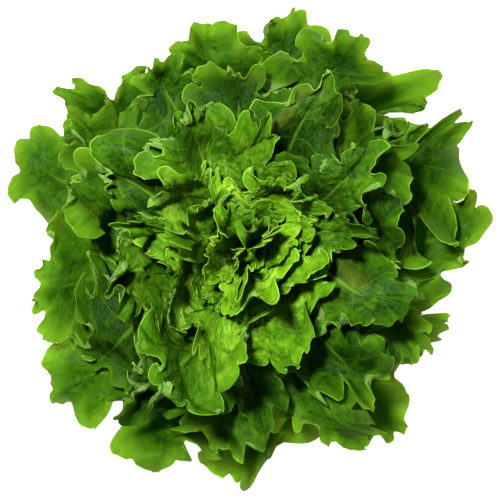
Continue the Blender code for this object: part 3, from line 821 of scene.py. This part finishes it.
def stem_material(name, cut):
    """Pale juicy stem: fibres along its side, and rings with drying sap on the cut."""
    n = Nodes(name)
    spot = n.add("ShaderNodeTexCoord").outputs["Object"]
    parts = n.add("ShaderNodeSeparateXYZ", {0: spot})
    radius = n.math("SQRT", n.math("ADD", n.math("POWER", parts.outputs[0], 2.0),
                                   n.math("POWER", parts.outputs[1], 2.0)))
    patches = n.noise(spot, 130.0, 4.0, 0.6)
    if cut:
        rings = n.noise(n.add("ShaderNodeCombineXYZ", {0: radius}).outputs[0], 900.0, 2.0)
        colour = n.mix(n.ramp(rings, 0.4, 0.7), CUT_DARK, CUT_PALE)
        colour = n.mix(n.ramp(patches, 0.52, 0.70, 0.0, 0.7), colour, SAP)
        colour = n.mix(n.ramp(radius, 0.0105, 0.0135, 0.0, 0.75), colour, CUT_SKIN)
    else:
        colour = n.mix(n.ramp(patches, 0.35, 0.7), STEM_DARK, STEM_PALE)
    grain = n.noise(spot, 1600.0, 2.0)
    normal = n.bump(n.math("ADD", patches, n.math("MULTIPLY", grain, 0.3)), 0.0004, 0.7)
    skin = n.add("ShaderNodeBsdfPrincipled", {
        "Base Color": colour, "Roughness": n.ramp(patches, 0.3, 0.7, 0.35, 0.6), "Normal": normal,
        "Subsurface Weight": 0.15, "Subsurface Scale": 0.002})
    return n.finish(skin.outputs[0])


def floor_material():
    n = Nodes("floor")
    spot = n.add("ShaderNodeTexCoord").outputs["Object"]
    tint = n.mix(n.noise(spot, 3.0), FLOOR_DARK, FLOOR_PALE)
    skin = n.add("ShaderNodeBsdfPrincipled", {
        "Base Color": tint, "Roughness": 0.9, "Emission Color": (1.0, 1.0, 1.0),
        "Emission Strength": FLOOR_GLOW})
    return n.finish(skin.outputs[0])


# The stem

SIDE, CUT = 0, 1
SHARP_STEM = 50


def root_radius(height):
    """Radius at which leaves root, at a height up the stem."""
    share = (height - FIRST_ROOT) / (LAST_ROOT - FIRST_ROOT)
    return ROOT_RADIUS_LOW + (ROOT_RADIUS_TOP - ROOT_RADIUS_LOW) * share


def stem_mesh(name, heights):
    """A length of the stem, slightly out of round, chamfered where it was cut."""
    butt = ROOT_RADIUS_LOW - STEM_INSET
    work = bmesh.new()
    uneven = Ripple(STEM_SEED, STEM_DENT_LENGTH, 6, 3)
    rings = []
    for height in heights:
        radius = min(butt, max(root_radius(height) - STEM_INSET, CORE_TIP))
        radius -= CUT_CHAMFER * (1 - min(height / CUT_CHAMFER, 1.0))
        ring = []
        for k in range(STEM_SIDES):
            turn = 2 * math.pi * k / STEM_SIDES
            way = np.array([math.cos(turn), math.sin(turn), 0.0])
            at = way * radius + np.array([0.0, 0.0, height])
            dent = STEM_DENT * (float(uneven(at)) - 1.0)
            ring.append(work.verts.new(at + way * dent))
        rings.append(ring)
    for low, high in zip(rings, rings[1:]):
        for k in range(STEM_SIDES):
            after = (k + 1) % STEM_SIDES
            work.faces.new((low[k], low[after], high[after], high[k]))
    work.faces.new(rings[0][::-1]).material_index = CUT
    work.faces.new(rings[-1]).material_index = SIDE
    mesh = bpy.data.meshes.new(name)
    work.to_mesh(mesh)
    work.free()
    mesh.shade_smooth()
    mesh.set_sharp_from_angle(angle=math.radians(SHARP_STEM))
    return mesh


# Making the object

def make_object():
    head = Head()
    sides = {name: (leaf_material(tone, under=False), leaf_material(tone, under=True))
             for name, tone in TONES.items()}
    inner = 0
    for leaf in head.leaves:
        in_heart = leaf.whorl.name in HEART_WHORLS
        if in_heart:
            inner += 1
        name = f"heart_blade_{inner:02d}" if in_heart else f"blade_{leaf.number + 1:02d}"
        tone = WHORL_TONE[leaf.whorl.name]
        thing = new_object(name, leaf_mesh(name, head, leaf), *sides[tone])
        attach(thing, "root")
        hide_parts("heart" if in_heart else f"leaf_{leaf.number + 1:02d}")
    last_outside = max(leaf.root_z for leaf in head.leaves if leaf.whorl.name not in HEART_WHORLS)
    side, cut = stem_material("stem_side", cut=False), stem_material("stem_cut", cut=True)
    butt = [0.0, CUT_RIM, CUT_CHAMFER] + list(np.linspace(FIRST_RING, last_outside, BUTT_RINGS))
    core = list(np.linspace(last_outside + CORE_GAP, LAST_ROOT + HEART_STEP + CORE_TOP, CORE_RINGS))
    for name, heights, node, slot in (("stem_butt", butt, "stem", "stem"),
                                      ("heart_core", core, "heart", "heart_leaf")):
        stem = new_object(name, stem_mesh(name, heights), side, cut)
        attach(stem, "root")
        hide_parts(node)


# Floor, light and camera

FLOOR_SIZE = 12.0
FLOOR_LEVEL = -0.0001
FLOOR_GLOW = 0.95
VIEW_WIDTH = 0.285
CAMERA_HEIGHT = 1.1
CAMERA_SHIFT = (0.0025, -0.0030)
FOCUS_LEVEL = 0.040
SENSOR = 36.0
WORLD_LIGHT = 0.11
# Each lamp: name, place, size and power
LAMPS = (("key", (-0.26, 0.32, 1.08), 0.16, 38),
         ("fill", (0.75, -0.35, 0.80), 0.8, 2.2))


def make_floor():
    mesh = bpy.data.meshes.new("floor")
    half = FLOOR_SIZE / 2
    corners = [(x * half, y * half, FLOOR_LEVEL) for x, y in ((-1, -1), (1, -1), (1, 1), (-1, 1))]
    mesh.from_pydata(corners, [], [(0, 1, 2, 3)])
    floor = new_object("floor", mesh, floor_material())


def add_lamp(name, at, size, power):
    """A round, white area lamp that shines at the foot of the head."""
    light = bpy.data.lights.new(name, "AREA")
    light.shape = "DISK"
    light.size = size
    light.energy = power
    lamp = bpy.data.objects.new(name, light)
    lamp.location = at
    lamp.rotation_euler = (-Vector(at)).to_track_quat("-Z", "Y").to_euler()
    bpy.context.scene.collection.objects.link(lamp)


def make_light():
    world = bpy.data.worlds.new("studio")
    world.use_nodes = True
    background = world.node_tree.nodes["Background"]
    background.inputs[0].default_value = (1.0, 1.0, 1.0, 1.0)
    background.inputs[1].default_value = WORLD_LIGHT
    bpy.context.scene.world = world
    for lamp in LAMPS:
        add_lamp(*lamp)


def make_camera():
    camera = bpy.data.cameras.new("camera")
    camera.sensor_width = SENSOR
    camera.lens = SENSOR * (CAMERA_HEIGHT - FOCUS_LEVEL) / VIEW_WIDTH
    eye = bpy.data.objects.new("camera", camera)
    eye.location = (*CAMERA_SHIFT, CAMERA_HEIGHT)
    bpy.context.scene.collection.objects.link(eye)
    bpy.context.scene.camera = eye


make_object()
make_floor()
make_light()
make_camera()
bpy.context.scene.view_settings.view_transform = "Standard"
